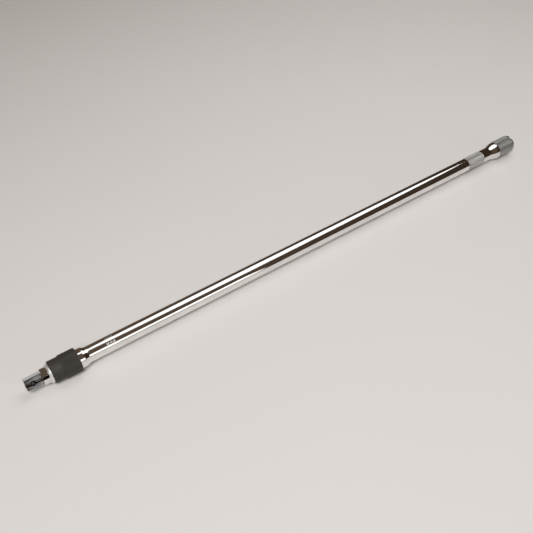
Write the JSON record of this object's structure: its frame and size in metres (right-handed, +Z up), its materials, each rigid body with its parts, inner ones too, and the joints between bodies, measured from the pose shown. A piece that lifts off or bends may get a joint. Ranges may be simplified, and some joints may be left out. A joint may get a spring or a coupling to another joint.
{
  "type": "locking extension bar",
  "caption": "Long chrome socket extension bar with a male drive square, a locking ball released by a sliding black sleeve, a knurled grip band and a knurled female end.",
  "frame": {"origin": "on the surface the bar lies on, under the middle of its length and its axis", "axes": "+X along the bar from the male square to the female square, +Z up"},
  "size_m": [0.762, 0.0276, 0.0275],
  "materials": {
    "chrome_plate": "polished, with satin knurled bands",
    "black_oxide": "matte black oxide",
    "bright_zinc": "bright plated",
    "washer_steel": "plain",
    "spring_steel": "oiled",
    "slide_steel": "dark, oiled",
    "pin_steel": "ground",
    "ball_steel": "polished"
  },
  "bodies": {
    "bar": {"extension_bar": "chrome_plate", "retaining_ring": "bright_zinc", "return_spring": "spring_steel"},
    "lock_carriage": {"lock_slide": "slide_steel", "cross_pin": "pin_steel", "spring_washer": "washer_steel"},
    "collar": {"locking_collar": "black_oxide"},
    "ball": {"locking_ball": "ball_steel"}
  },
  "joints": [
    {"name": "collar_pull", "type": "slide", "parent": "bar", "child": "lock_carriage", "axis": [1, 0, 0], "range_m": [0, 0.004], "stiffness_N_per_m": 2060, "springref_m": -0.0045, "deforming": ["return_spring"]},
    {"name": "collar_spin", "type": "hinge", "parent": "lock_carriage", "child": "collar", "pos_m": [-0.3366, 0, 0.01377], "axis": [1, 0, 0], "continuous": true},
    {"name": "ball_drop", "type": "slide", "parent": "bar", "child": "ball", "axis": [0, 0.8315, -0.5556], "range_m": [0, 0.001]}
  ],
  "couplings": [
    {"joint": "ball_drop", "follows": "collar_pull", "ratio": 0.25}
  ]
}
